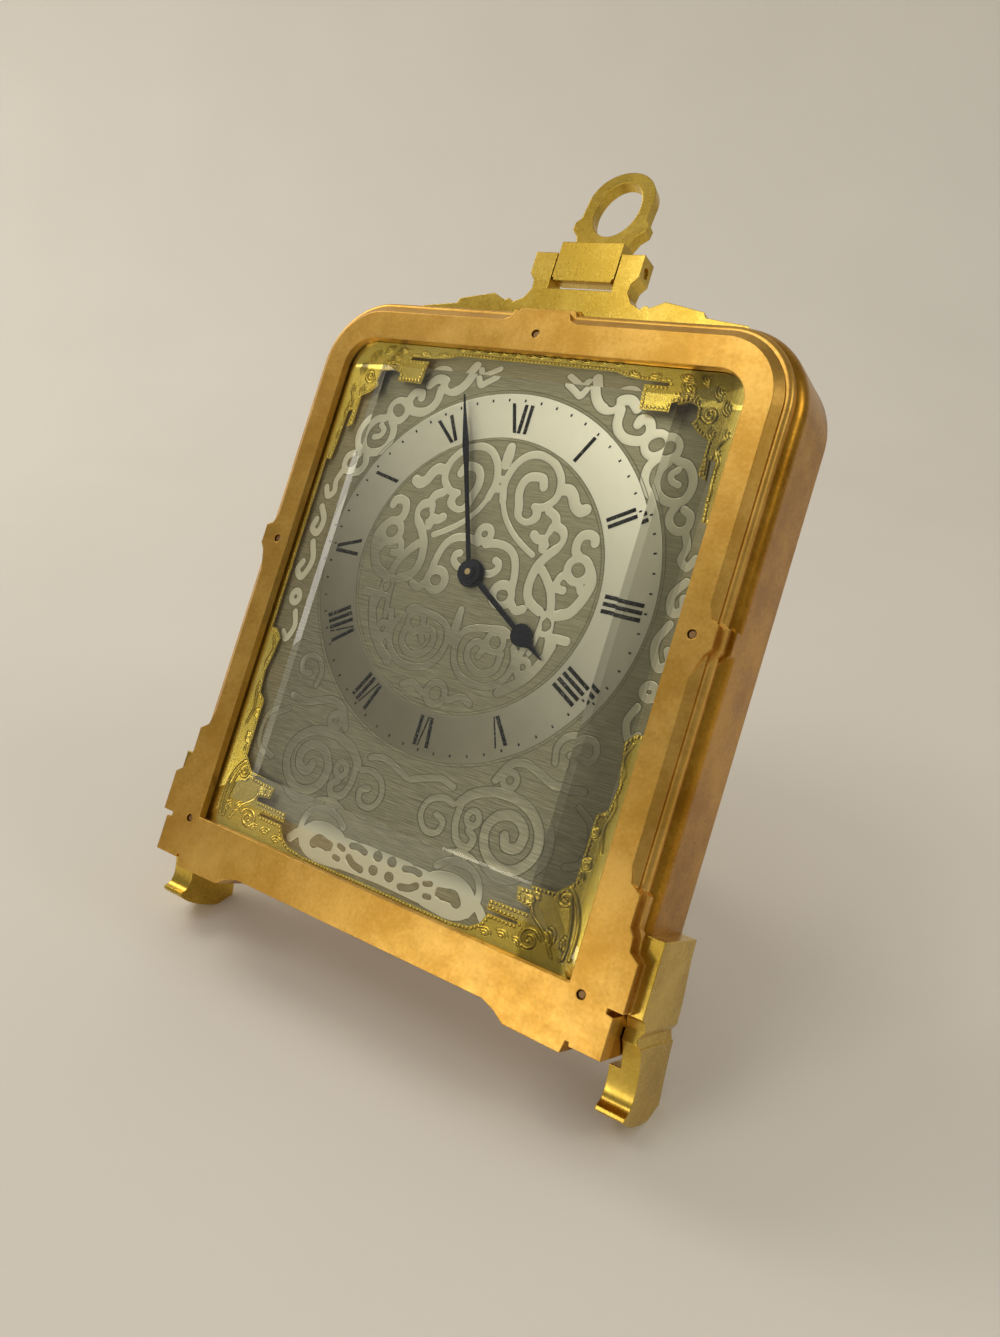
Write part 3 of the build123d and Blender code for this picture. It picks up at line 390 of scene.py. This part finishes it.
mask_gilt = gilt("mask_gilt", (1.0, 0.80, 0.20), (0.90, 0.66, 0.10), 0.24, 1.2, 0.08, 0.03)
dress(mask_gilt, "corner_mask")
mask_edge = [(0, 37.1), (16, 37.1), (18, 36.4), (21.7, 36.0), (26, 36.0), (26.2, 35.3), (21.9, 35.3),
             (22.3, 31.8), (27.5, 31.8), (27.5, 33.3), (29.4, 34.0), (31.3, 33.3), (31.6, 31.3),
             (31.0, 30.5), (32.7, 29.0), (34.6, 28.2), (34.6, 22.5), (36.1, 21.9), (35.7, 25.2),
             (36.8, 25.1), (37.2, 18.4), (37.5, 15.3), (38.7, 15.3), (38.8, -18.3), (37.3, -18.4),
             (35.8, -20.0), (36.4, -24.0), (37.0, -26.5), (36.5, -30.6), (34.8, -31.9), (34.7, -42.5),
             (32.1, -45.0), (26.4, -45.4), (26.8, -47.6), (29.6, -48.1), (29.6, -48.9), (22.2, -49.1),
             (22.2, -50.8), (28.0, -50.8), (28.0, -51.3), (22.6, -51.4), (21.7, -53.4), (19.9, -54.6),
             (16.0, -55.2), (0, -55.2)]


def scroll(x, y, size, start, turns=1.7):
    """A spiral about a place: its radius shrinks evenly as it turns from a direction in degrees."""
    part = np.linspace(0, 1, 40)
    angle = math.radians(start) + 2 * math.pi * turns * part
    reach = size * (1 - 0.85 * part)
    return np.column_stack([x + reach * np.cos(angle), y + reach * np.sin(angle)])


def leaf(x, y, size, way):
    """Up to three nested cuts of a leaf: arcs about a place, 50 degrees to each side of a direction."""
    angle = np.radians(way + np.linspace(-50, 50, 21))
    return [(0.42, np.column_stack([x + reach * np.cos(angle), y + reach * np.sin(angle)]))
            for reach in (size, size - 0.5, size - 1.0) if reach > 0.2]


mask_strokes = [
    (0.6, [(32.2, -43), (34.4, -43.6), (36.3, -45.6), (37.5, -49), (37.6, -53.7)]),
    (0.55, [(33, -43.6), (34.6, -44.8), (35.6, -46.6), (36.4, -50), (36.6, -54)]),
    (0.55, [(29.4, -46.4), (30.2, -48.8), (32.8, -50.8), (35, -54)]),
    (0.55, [(37.5, -20), (36.6, -22.5), (37.5, -25), (36.6, -27.6), (37.6, -30), (36.8, -33.5),
            (37.5, -37)]),
    (0.55, [(37.2, 28.6), (36.5, 26.8), (37.4, 24.8), (36.8, 22.6), (37.6, 20.4), (37, 18.2)]),
    (0.55, scroll(34.1, -45.3, 1.5, 100)),
    (0.55, scroll(30.6, -52.8, 2.0, 20)),
    (0.55, scroll(35.5, -34.4, 0.9, 180)),
    (0.55, scroll(35.8, -39.4, 1.0, 60)),
    (0.55, scroll(33.8, 32.2, 1.3, 200)),
    (0.55, scroll(29, -46.8, 0.8, 0)),
]
leaf_spots = [(22.8, -55, 1.3, 80), (25.8, -54.3, 1.3, 80), (28.4, -54.4, 1.2, 60), (32.8, -51.8, 1.6, 30),
              (35.2, -52.2, 1.5, 20), (36.8, -30.8, 0.9, 200), (33.6, -38, 0.9, 20), (34.8, -41.6, 1.1, 40),
              (19.8, 37.7, 1.1, 250), (23.2, 37.7, 1.1, 280), (26, 36.7, 1.3, 240), (29, 37.9, 1.3, 250),
              (30, 36.1, 1.5, 230), (32.2, 37.7, 1.4, 220), (35, 36.1, 1.5, 210), (37, 33.8, 1.4, 200),
              (31.8, 33.9, 1.2, 200), (35.6, 29.4, 1.4, 190), (38, 29.6, 1.0, 190), (37.4, 26.6, 0.9, 190),
              (37.2, 22.4, 0.8, 190)]
leaf_spots += [(top_x, 39.4, 1.0, 270) for top_x in range(1, 18, 3)]
for leaf_x, leaf_y, size, way in leaf_spots:
    mask_strokes += leaf(leaf_x, leaf_y, size, way)


def inside(x, y, outline):
    """Whether places are inside an outline: a line to the right crosses its edges an odd number of times."""
    odd = np.zeros(x.shape, bool)
    for (ax, ay), (bx, by) in zip(outline, outline[1:] + outline[:1]):
        if ay != by:
            odd ^= ((ay > y) != (by > y)) & (x < ax + (y - ay) * (bx - ax) / (by - ay))
    return odd


opening = mask_edge + [(-edge_x, edge_y) for edge_x, edge_y in mask_edge[::-1]]
edge_points = []
for start, end in zip(mask_edge, mask_edge[1:]):
    edge_points.extend(np.linspace(start, end, max(2, int(math.dist(start, end))), endpoint=False))
edge_stroke = [(0.0, edge_points)]
mask_face, leaf_height, sheet_margin = 2.85, 0.22, 0.12
corner_x, corner_y, corner_round = 34.4, 33.4, 6.6
mask_x, mask_y = np.meshgrid(np.linspace(-41.0, 41.0, 821), np.linspace(-57.1, 40.0, 971))
past_x, past_y = np.maximum(np.abs(mask_x) - corner_x, 0), np.maximum(mask_y - corner_y, 0)
in_corner = np.hypot(past_x, past_y) < corner_round
on_mask = ~inside(mask_x, mask_y, opening) & (in_corner | (mask_y < corner_y))
ridge = np.full(mask_x.shape, 9.0)
ridge[on_mask] = nearest(np.abs(mask_x[on_mask]), mask_y[on_mask], mask_strokes)
margin = np.zeros(mask_x.shape)
margin[on_mask] = nearest(np.abs(mask_x[on_mask]), mask_y[on_mask], edge_stroke)
swell = np.sqrt(np.clip(-ridge / 0.26, 0, 1)) * np.clip(margin / 0.4, 0, 1)
keep = on_mask & (margin > sheet_margin) & (ridge < 0.25)
number = np.full(mask_x.shape, -1)
number[keep] = np.arange(keep.sum())
# Painted shade, with some grime: the mask is darker just beside each stroke and along each stroke's edges,
# and paler along its crown.
grime = 0.8 * np.where(ridge < 0, np.clip(1 + ridge / 0.10, 0, 1), np.clip(1 - ridge / 0.20, 0, 1))
piece("mask_engraving", placed(mask_x[keep], mask_y[keep], mask_face - 0.01 - leaf_height * swell[keep]),
      grid_cells(number), mask_gilt, "mask_gilt", grime=grime[keep])

# The mask's edge is beaded: a row of small round domes, struck with a punch, follows the outline.
# The beads are one piece, and painted shade darkens the foot of each and, less, its lower slope, where some
# dirt also sits.
bead_pitch, bead_inset = 0.72, 0.42
bead_rings = [(0.34, 0.0), (0.26, 0.13), (0.13, 0.19)]
bead_top = 0.21
round_bead = 8
walk = []
for (start_x, start_y), (end_x, end_y) in zip(mask_edge, mask_edge[1:]):
    run_x, run_y = end_x - start_x, end_y - start_y
    run = math.hypot(run_x, run_y)
    for part in np.arange(bead_pitch / 2, run, bead_pitch) / run:
        walk.append((start_x + part * run_x - bead_inset * run_y / run,
                     start_y + part * run_y + bead_inset * run_x / run))
walk = np.array(walk)
free = ~inside(walk[:, 0], walk[:, 1], opening) & (nearest(walk[:, 0], walk[:, 1], edge_stroke) > 0.36)
walk = np.vstack([walk[free], walk[free] * (-1, 1)])
turns = np.radians(np.arange(0, 360, 360 / round_bead))
bead_x = np.concatenate([size * np.cos(turns) for size, high in bead_rings] + [[0.0]])
bead_y = np.concatenate([size * np.sin(turns) for size, high in bead_rings] + [[0.0]])
bead_high = np.concatenate([np.full(round_bead, high) for size, high in bead_rings] + [[bead_top]])
beads = placed(walk[:, :1] + bead_x, walk[:, 1:] + bead_y, mask_face - bead_high + np.zeros((len(walk), 1)))
bead_faces = []
for first in range(0, len(walk) * len(bead_x), len(bead_x)):
    top_ring, summit = first + 2 * round_bead, first + 3 * round_bead
    for k in range(round_bead):
        after = (k + 1) % round_bead
        for foot in (first, first + round_bead):
            bead_faces.append([foot + k, foot + after, foot + round_bead + after, foot + round_bead + k])
        bead_faces.append([top_ring + k, top_ring + after, summit])
# Painted shade: dark at each bead's foot, lighter up its side, and none on its top.
bead_shade_and_grime = np.tile(np.repeat([0.95, 0.2, 0.0, 0.0], [round_bead, round_bead, round_bead, 1]), len(walk))
piece("mask_beads", beads.reshape(-1, 3), bead_faces, mask_gilt, "mask_gilt", grime=bead_shade_and_grime)


# The dial is a silvered brass plate. Its strapwork is left plain on a ground scored with fine
# lines, and the chapter ring is bounded by engraved double circles. Light is painted on it: the
# ground and the ring are painted paler towards the upper right and darker towards the lower left,
# and the strapwork carries a painted highlight there, along the foot and at the left edge.
def ring(x, y, size):
    """The points of a circle about a place."""
    turns = np.linspace(0, 2 * math.pi, 25)
    return [(x + size * math.cos(a), y + size * math.sin(a)) for a in turns]


ring_inner, ring_outer = 24.5, 32.6
middle_strokes = [
    (0.9, [(10.4, 5.3), (8.1, 6.5), (5.4, 8.3), (3, 10.8), (1.5, 13.5)]),
    (1.3, [(1.5, 13.5), (0.9, 16.5), (1.8, 19.7), (3.8, 21.8), (6.4, 22.3), (9.2, 21.3), (11.2, 19.2),
           (11.8, 16.9), (11.4, 15.1), (9.8, 13.6), (8, 13.3)]),
    (1.5, [(8.6, 17), (8, 18.3), (6.6, 18.5), (5.2, 18.1), (4.4, 16.9), (4.3, 15.1), (4.9, 13.3),
           (5.5, 11.5), (7.2, 10.8), (8.8, 11.5), (8.7, 12.8)]),
    (1.9, [(12.4, 17.1), (13.6, 17.1), (14.6, 16.2), (15.4, 14.8), (16.6, 14), (17.6, 14.4)]),
    (1.5, [(11, 13.1), (12.5, 12.3), (13.2, 10.9), (14.5, 10.3), (15, 9.1), (14.5, 7.3), (13.2, 5.7),
           (12, 3.9), (11.5, 2.1), (11.4, 0.1), (11.9, -1.7), (13.2, -2.9), (14.8, -3.6)]),
    (1.5, [(9.5, 8.7), (10.4, 8.1), (11.5, 8.1), (11.9, 6.7)]),
    (1.1, [(12.4, 10.5), (12.2, 8.9), (12.3, 7.3)]),
    (1.4, [(13, 3.2), (14.3, 1.9), (15.6, 0.2), (16.4, -1.6), (16.9, -3.6)]),
    (0.9, [(15.9, -3.9), (15.8, -5.7), (15.6, -8.1), (15.2, -10.7)]),
    (0.9, [(17.3, -3.5), (17.7, -5.5), (17.9, -7.7), (18.1, -9.7)]),
    (0.8, [(15.8, -7.1), (16.8, -7.1), (17.8, -6.9)]),
    (1.5, [(21, 9.3), (20.7, 10.1), (19.7, 10.5), (18.5, 10.1), (17.9, 8.9), (18.1, 7.3), (19.2, 6.3)]),
    (1.5, ring(19.5, 4.4, 1.9)),
    (1.7, [(20.2, 6.1), (21.6, 4.7), (22.4, 2.9), (22.1, 0.9), (21.4, -0.9), (20.2, -2.7), (18.4, -3.5)]),
    (1.2, [(17.9, 0.6), (16.8, 0.8), (16.4, 1.8), (17.1, 3), (18.6, 2.9), (20.2, 2.3), (21, 1.1)]),
    (1.3, [(0.8, 5.5), (2.8, 6), (5, 5.8), (6.8, 4.7), (7.8, 2.9), (8.3, 0.7), (8.5, -1.3), (9.1, -3.3),
           (10.4, -4.4), (11.7, -3.9)]),
    (1.2, [(3.7, 3.1), (4.5, 2.7), (4.6, 1.7), (3.6, 0.8), (2, 0.4), (0.8, -0.5)]),
    (1.5, ring(6.9, -2.4, 1.8)),
    (1.6, [(0, 22.9), (0.2, 21.3), (0, 19.7)]),
    (1.2, ring(0, 7.2, 1.3)),
    (1.2, ring(0, 16.2, 0.9)),
    (1.1, [(10.6, -8.7), (9.2, -8), (7, -8.3), (4, -8.8), (1.8, -10), (1, -12.3), (1.6, -15.1),
           (3.6, -17.3), (6.6, -18.1), (9.8, -17.7), (12.2, -15.7), (13, -12.9), (12.2, -10.5)]),
    (1.1, [(10.2, -12.1), (10, -14.5), (8.2, -15.9), (5.8, -15.7), (4, -14.1), (3.8, -12.1), (5.2, -11),
           (6.6, -11.9), (6, -13.3)]),
    (1.1, ring(8.4, -10.4, 1.6)),
    (1.4, [(18, -7.5), (19.4, -7.3), (21.2, -7.3)]),
    (1.5, [(18.9, -8.7), (18.1, -11.1), (16.6, -14), (14.4, -16.3), (11.8, -18.3)]),
    (1.0, ring(14.8, -13.2, 1.2)),
    (1.0, [(14.2, -9.5), (13.6, -12.1), (14.4, -14.7)]),
    (1.1, ring(0, -21.4, 1.9)),
    (1.0, [(2.8, -21.9), (5.2, -20.7), (7.2, -21.5)]),
    (1.2, [(0, -6.5), (0.2, -9.1), (0, -12.1)]),
]
outer_strokes = [
    (1.7, [(12.4, 35.3), (13.4, 33.1), (15, 31.7), (17, 31.8), (18, 33.3), (19.8, 33.5), (21.2, 32.3)]),
    (1.6, [(18.4, 31.7), (18.5, 29.3), (19.8, 27.5), (21.8, 26.9), (23.8, 27.2), (24.7, 28.7),
           (24, 30.4), (22.6, 30.6), (22.2, 29.7)]),
    (1.5, ring(26.4, 26.7, 1.9)),
    (1.4, [(27.4, 24.7), (26.2, 22.9), (26.3, 20.5), (27.6, 18.8), (29.8, 18.1), (31.8, 18.8),
           (32.6, 20.8), (32.2, 22.8), (30.8, 24.5), (29, 24.9)]),
    (1.0, [(30.2, 21.1), (28.9, 21.5), (28.4, 22.6), (29.4, 23.5)]),
    (1.3, [(30.8, 17.5), (30.3, 15.9), (31, 14.4), (32.6, 13.8), (33.9, 14.7), (33.8, 16.5),
           (32.5, 17.3)]),
    (1.1, [(7.2, 35.1), (8.8, 34.1), (10.2, 33.3), (11, 34.5)]),
    (1.2, [(34, 13.5), (34.8, 11.5), (34.4, 9.5), (35.8, 8.5), (36.8, 10.1)]),
    (1.6, [(11.2, -37.1), (13.2, -35.2), (16.8, -33.8), (20.6, -33.7), (24.2, -34.9), (26.6, -37.7),
           (26.8, -41.3), (24.4, -44.3), (21, -44.9), (18, -42.9), (17.2, -39.7), (18.8, -37.2),
           (21.8, -36.5), (24, -38.3), (23.6, -40.9), (21.6, -41.4), (20.8, -39.9)]),
    (1.2, [(11.4, -37.5), (11.4, -40.7), (12.6, -43.3), (14.8, -43.8), (15.5, -42.1), (14.2, -41.1)]),
    (1.0, ring(14.3, -39.0, 1.2)),
    (1.0, ring(18.8, -31.2, 1.3)),
    (1.2, [(16.2, -31.9), (18, -28.9), (20.6, -27.9), (23.6, -28.7), (26.6, -29.7), (30, -29.3)]),
    (1.0, [(25.6, -26.3), (25.2, -23.7), (26.6, -21.7), (29, -21.3), (30.2, -22.9), (29.4, -24.7),
           (27.8, -24.5)]),
    (1.0, [(30.1, -31.9), (32.8, -33.7), (33.8, -36.9), (32.8, -40.1), (30.6, -41.3)]),
    (1.0, [(9, -35.3), (6.2, -34.7), (3.2, -35.5), (0.4, -36.5)]),
    (1.0, [(10, -37.9), (7.8, -37.5), (5.2, -38.7), (4.4, -41.3), (6, -43.5), (8.4, -43.3), (9, -41.3),
           (7.4, -40.5)]),
    (1.1, [(10.2, -46.9), (12.6, -45.3), (16, -45.2), (18.6, -46.9), (19.4, -49.9), (18.2, -52.7)]),
    (5.6, [(0, -51.0), (8.6, -51.3)]),
    (2.6, [(9.0, -50.4), (11.4, -48.9), (14.8, -48.6), (17.4, -50.0), (17.2, -52.4), (14.4, -53.4),
           (9.6, -53.0)]),
    (1.5, [(17.4, -51.6), (19.6, -50.9), (21.2, -52.4)]),
    (1.3, [(36.4, 6.2), (34.8, 3.8), (35.4, 1.2), (37.2, 1.8), (36.8, 3.6)]),
    (1.3, [(35.8, -0.8), (34.4, -4.2), (35.8, -7.6), (37.6, -6.6), (36.8, -4.8)]),
    (1.2, ring(35.8, -11.6, 1.1)),
    (1.2, [(34.6, -14.4), (33.6, -17), (34.8, -19.6), (36.2, -18.6)]),
]
holes = [
    (1.8, [(6.9, 12.1), (7.0, 12.1)]),
    (1.8, [(13.4, 8.5), (13.6, 8.7)]),
    (1.5, [(16.8, -5.3), (16.9, -5.6)]),
    (2.2, [(19.4, 4.5), (19.6, 4.3)]),
    (1.5, [(16.2, 33.0), (16.4, 32.8)]),
    (2.1, [(26.2, 26.6), (26.7, 26.9)]),
    (1.9, [(7.0, -2.5), (7.1, -2.4)]),
    (1.9, [(8.4, -10.3), (8.5, -10.5)]),
    (1.7, [(1.5, -49.4), (1.6, -49.4)]),
    (1.1, [(4.4, -49.6), (6.0, -49.2), (7.4, -49.4)]),
    (0.9, [(9.0, -50.6), (10.0, -50.3)]),
    (1.7, [(1.7, -52.0), (1.8, -52.0)]),
    (1.2, [(4.4, -52.8), (6.2, -52.4), (7.4, -51.6)]),
    (0.9, [(9.6, -52.6), (10.4, -52.5)]),
    (1.8, [(12.8, -51.2), (14.6, -50.6), (15.6, -51.6)]),
]
columns, rows = np.meshgrid(np.linspace(-38.9, 38.9, 261), np.linspace(-55.4, 37.2, 311))
figure = nearest(np.abs(columns), rows, middle_strokes + outer_strokes) - 0.14
figure = np.maximum(figure, -nearest(np.abs(columns), rows, holes))
raised = np.clip(-figure / 0.2, 0, 1)
dial_silver = Finish("dial_silvered", (0.7, 0.69, 0.64), Metallic=0.75)
place = dial_silver.on_case()
x = dial_silver.node("SeparateXYZ", {}, {0: place}, output=0)
y = dial_silver.node("SeparateXYZ", {}, {0: place}, output=1)
radius = x.math("POWER", x * x + y * y, 0.5)
edge = dial_silver.node("Attribute", {"attribute_name": "figure"}, {}, output=2)
on_ring = (radius > ring_inner) * (radius < ring_outer)
on_band = (edge < 0.0) * (1 - on_ring)
line = dial_silver.spread(abs(edge), 0.15, 0.04) * (1 - on_ring)
ring_lines = [(ring_inner, 0.12), (ring_outer, 0.12), (ring_inner - 0.55, 0.09), (ring_outer + 0.55, 0.09)]
for circle, breadth in ring_lines:
    line = line + dial_silver.spread(abs(radius - circle), breadth, 0.03)
line = x.math("MINIMUM", line, 1.0)
scored = dial_silver.node("Mapping", {}, {"Vector": place, "Scale": (0.14, 8.0, 1.0)})
score = dial_silver.noise(scored, 1.4, 3.0, 0.7)
cloud = dial_silver.noise(place, 0.07, 4.0, 0.6)
# Painted light: the slope rises towards the upper right with a cloudy edge. It paints the ground and the
# chapter ring paler there and darker at the lower left, and lit is a painted highlight on the strapwork.
painted_light_slope = x * 0.45 + y * 0.9 + (cloud - 0.5) * 14
pale = dial_silver.spread(painted_light_slope, -34, 36)
lit = x.math("MAXIMUM", dial_silver.spread(painted_light_slope, -12, 5), dial_silver.spread(y, -46, -50))
lit = x.math("MAXIMUM", lit, dial_silver.spread(x, -29, -32) * (y > -30))
scoring = dial_silver.spread(score, 0.42, 0.60)
ground = dial_silver.mix(pale, (0.15, 0.135, 0.08), (0.24, 0.215, 0.12))
ground = dial_silver.mix(scoring * 0.42, ground, (0.50, 0.47, 0.34))
band = dial_silver.mix(lit, dial_silver.mix(0.10, ground, (0.8, 0.78, 0.62)), (0.70, 0.66, 0.50))
plain = dial_silver.mix(pale, (0.20, 0.18, 0.12), (0.86, 0.82, 0.66))
colour = dial_silver.mix(on_band, ground, band)
colour = dial_silver.mix(on_ring, colour, plain)
dial_silver.feed("Base Color", dial_silver.mix(line * 0.8, colour, (0.10, 0.09, 0.05)))
dial_silver.feed("Roughness", 0.52 - 0.14 * (on_band + on_ring))
height = score * 0.3 * (1 - on_band) * (1 - on_ring) - line
dial_silver.bump(height, 0.05 * mm, 0.7)
dress(dial_silver, "dial_plate")
dial_face = 4.385
number = np.arange(columns.size).reshape(columns.shape)
piece("dial_engraving", placed(columns, rows, dial_face - 0.02 * raised).reshape(-1, 3), grid_cells(number),
      dial_silver, "dial_silvered", figure=figure)


# The hours are cut in the chapter ring and filled with black wax, which has worn out of the thin
# strokes. The bars stand with their feet to the middle, and minute dots run outside them.
numeral_foot, numeral_top, stroke_width, hairline_width = 25.5, 30.7, 0.68, 0.26
minute_foot, minute_top, minute_width = 31.1, 31.6, 0.3
wax_foot, wax_face = 4.36, 4.335
letters = {
    "I": [(0.0, 0.0)],
    "V": [(-0.9, -0.3), (1.0, 0.3)],
    "X": [(-0.9, 0.9)],
}
hours = ["XII", "I", "II", "III", "IIII", "V", "VI", "VII", "VIII", "IX", "X", "XI"]
step = {"I": 1.2, "V": 2.2, "X": 2.2}
bars = []
for hour, numeral in enumerate(hours):
    turn = math.radians(-30 * hour)
    reach = -sum(step[letter] for letter in numeral) / 2
    for letter in numeral:
        middle = reach + step[letter] / 2
        for top, foot in letters[letter]:
            thin = letter == "V" and top > 0
            bars.append((turn, middle + top, numeral_top, middle + foot, numeral_foot,
                         hairline_width if thin else stroke_width))
        reach += step[letter]
for minute in range(60):
    bars.append((math.radians(-6 * minute), 0.0, minute_top, 0.0, minute_foot, minute_width))
points = []
faces = []
for turn, top, top_out, foot, foot_out, wide in bars:
    across_bar = np.array([-wide / 2, wide / 2, wide / 2, -wide / 2])
    places = np.array([foot, foot, top, top]) + across_bar
    out = np.array([foot_out, foot_out, top_out, top_out])
    spot_x = places * math.cos(turn) - out * math.sin(turn)
    spot_y = places * math.sin(turn) + out * math.cos(turn)
    first = len(points) * 4
    for depth in (wax_foot, wax_face):
        points.append(placed(spot_x, spot_y, depth))
    faces += [[first + 4, first + 5, first + 6, first + 7]]
    faces += [[first + k, first + (k + 1) % 4, first + 4 + (k + 1) % 4, first + 4 + k] for k in range(4)]
wax = Finish("black_wax", (0.02, 0.02, 0.018), Roughness=0.8, Specular_IOR_Level=0.2)
place = wax.on_case()
worn = wax.spread(wax.noise(place, 2.6, 4.0, 0.7), 0.56, 0.64)
wax.feed("Base Color", wax.mix(worn, (0.006, 0.006, 0.005), (0.22, 0.21, 0.18)))
wax.bump(wax.noise(place, 5.0), 0.03 * mm, 0.5)
piece("numerals", np.vstack(points), faces, wax, "dial_silvered")

# The hands are steel, blued nearly black. The minute hand's pipe ends in a small collet.
hand_finish = gilt("hand_blued", (0.035, 0.040, 0.055), (0.015, 0.016, 0.02), 0.30, 3.0, 0.1, 0.1)
dress(hand_finish, "hour_hand", "minute_hand", "hand_washer")
